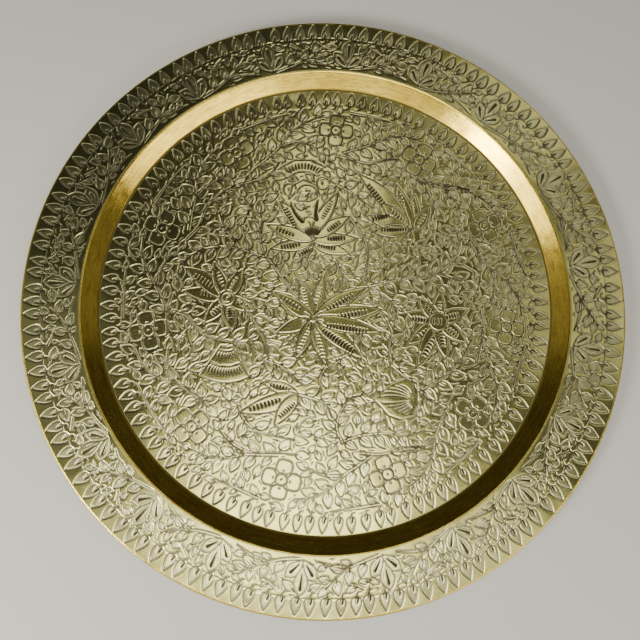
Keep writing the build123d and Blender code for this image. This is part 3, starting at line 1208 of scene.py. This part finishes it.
def softbox(name, degrees, elevation, distance, size, power, colour):
    """A square light that looks at the tray's middle from a compass angle and an elevation."""
    light = bpy.data.lights.new(name, "AREA")
    light.shape = "RECTANGLE"
    light.size, light.size_y = size
    light.energy = power
    light.color = colour
    lamp = bpy.data.objects.new(name, light)
    turn, lift = np.radians(degrees), np.radians(elevation)
    way = Vector((np.cos(turn) * np.cos(lift), np.sin(turn) * np.cos(lift), np.sin(lift)))
    lamp.matrix_world = Matrix.Translation(way * distance) @ way.to_track_quat("Z", "Y").to_matrix().to_4x4()
    bpy.context.collection.objects.link(lamp)
    return lamp


class TRAY_OT_set_stage(bpy.types.Operator):
    """Sets a pale floor, soft lights and the camera"""

    bl_idname = "tray.set_stage"
    bl_label = "Set the stage"

    def execute(self, context):
        scene = context.scene
        mesh = bpy.data.meshes.new("stage_floor")
        half = 3.0
        corners = [(-half, -half, 0), (half, -half, 0), (half, half, 0), (-half, half, 0)]
        mesh.from_pydata(corners, [], [(0, 1, 2, 3)])
        floor = bpy.data.objects.new("stage_floor", mesh)
        paper = bpy.data.materials.new("stage_paper")
        paper.use_nodes = True
        paper.node_tree.nodes["Principled BSDF"].inputs["Base Color"].default_value = (0.62, 0.60, 0.57, 1.0)
        paper.node_tree.nodes["Principled BSDF"].inputs["Roughness"].default_value = 0.85
        mesh.materials.append(paper)
        context.collection.objects.link(floor)

        warm, cool = (1.0, 0.985, 0.87), (0.90, 0.95, 1.0)
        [softbox(f"light_{name}", *rest) for name, *rest in (
            ("front_high", -100.0, 74.0, 1.6, (0.72, 0.62), 8.4, warm),
            ("front_middle", -90.0, 64.0, 1.62, (0.9, 0.5), 2.8, warm),
            ("front_low", -90.0, 33.0, 1.4, (1.4, 0.3), 2.8, warm),
            ("front_right", -44.0, 30.0, 1.4, (1.05, 0.35), 5.0, warm),
            ("front_left", -142.0, 30.0, 1.4, (0.26, 0.35), 13.0, warm),
            ("far_left", -155.0, 30.0, 1.4, (0.75, 0.35), 5.0, warm),
            ("right_corner", -42.0, 57.0, 1.7, (0.35, 0.35), 1.0, warm),
            ("left_corner", -138.0, 58.0, 1.7, (0.35, 0.35), 0.6, warm),
            ("left", 176.0, 52.0, 1.7, (0.5, 0.5), 0.22, cool),
            ("right", 12.0, 52.0, 1.8, (0.5, 0.6), 1.05, warm),
            ("low_left", 168.0, 28.0, 1.3, (0.6, 0.3), 0.14, warm),
            ("low_right", 8.0, 24.0, 1.3, (0.6, 0.3), 0.11, warm),
            ("top", 85.0, 66.0, 1.8, (0.4, 0.6), 2.0, warm),
            ("top_right", 50.0, 45.0, 1.9, (0.6, 0.6), 1.4, warm),
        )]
        world = bpy.data.worlds.new("studio")
        world.use_nodes = True
        world.node_tree.nodes["Background"].inputs["Color"].default_value = (0.05, 0.05, 0.055, 1.0)
        world.node_tree.nodes["Background"].inputs["Strength"].default_value = 0.6
        scene.world = world

        camera = bpy.data.objects.new("camera", bpy.data.cameras.new("camera"))
        camera.data.lens = 29.0
        camera.data.sensor_width = 36.0
        camera.data.clip_start = 0.01
        eye = Vector((-0.0252, -0.0913, 0.4994))
        look = (Vector((-0.0080, -0.0201, 0.0)) - eye).normalized()
        right = look.cross(Vector((0.0, 1.0, 0.0))).normalized()
        up = right.cross(look)
        turn = Matrix((right, up, -look)).transposed().to_4x4()
        camera.matrix_world = Matrix.Translation(eye) @ turn
        context.collection.objects.link(camera)
        scene.camera = camera
        return {"FINISHED"}


class TRAY_PT_panel(bpy.types.Panel):
    """Buttons for making the tray"""

    bl_idname = "TRAY_PT_panel"
    bl_label = "Brass Tray"
    bl_space_type = "VIEW_3D"
    bl_region_type = "UI"
    bl_category = "Brass Tray"

    def draw(self, context):
        for operator in OPERATORS:
            self.layout.operator(operator.bl_idname)
        for settings in (context.scene.tray_sizes, context.scene.tray_colours):
            for key in settings.bl_rna.properties.keys():
                if key not in ("rna_type", "name"):
                    self.layout.prop(settings, key)


OPERATORS = (TRAY_OT_engrave_floor, TRAY_OT_engrave_rim, TRAY_OT_polish_wall, TRAY_OT_roll_edge,
             TRAY_OT_finish_wire, TRAY_OT_set_stage)
CLASSES = (TraySizes, TrayColours) + OPERATORS + (TRAY_PT_panel,)


def register():
    """Adds the classes and the scene's settings to Blender."""
    for made in CLASSES:
        bpy.utils.register_class(made)
    bpy.types.Scene.tray_sizes = bpy.props.PointerProperty(type=TraySizes)
    bpy.types.Scene.tray_colours = bpy.props.PointerProperty(type=TrayColours)


def unregister():
    """Takes them out again."""
    del bpy.types.Scene.tray_colours
    del bpy.types.Scene.tray_sizes
    for made in reversed(CLASSES):
        bpy.utils.unregister_class(made)


def main():
    """Makes the tray and its stage."""
    register()
    for make in (bpy.ops.tray.engrave_floor, bpy.ops.tray.engrave_rim, bpy.ops.tray.polish_wall,
                 bpy.ops.tray.roll_edge, bpy.ops.tray.finish_wire, bpy.ops.tray.set_stage):
        make()


if __name__ == "__main__":
    main()
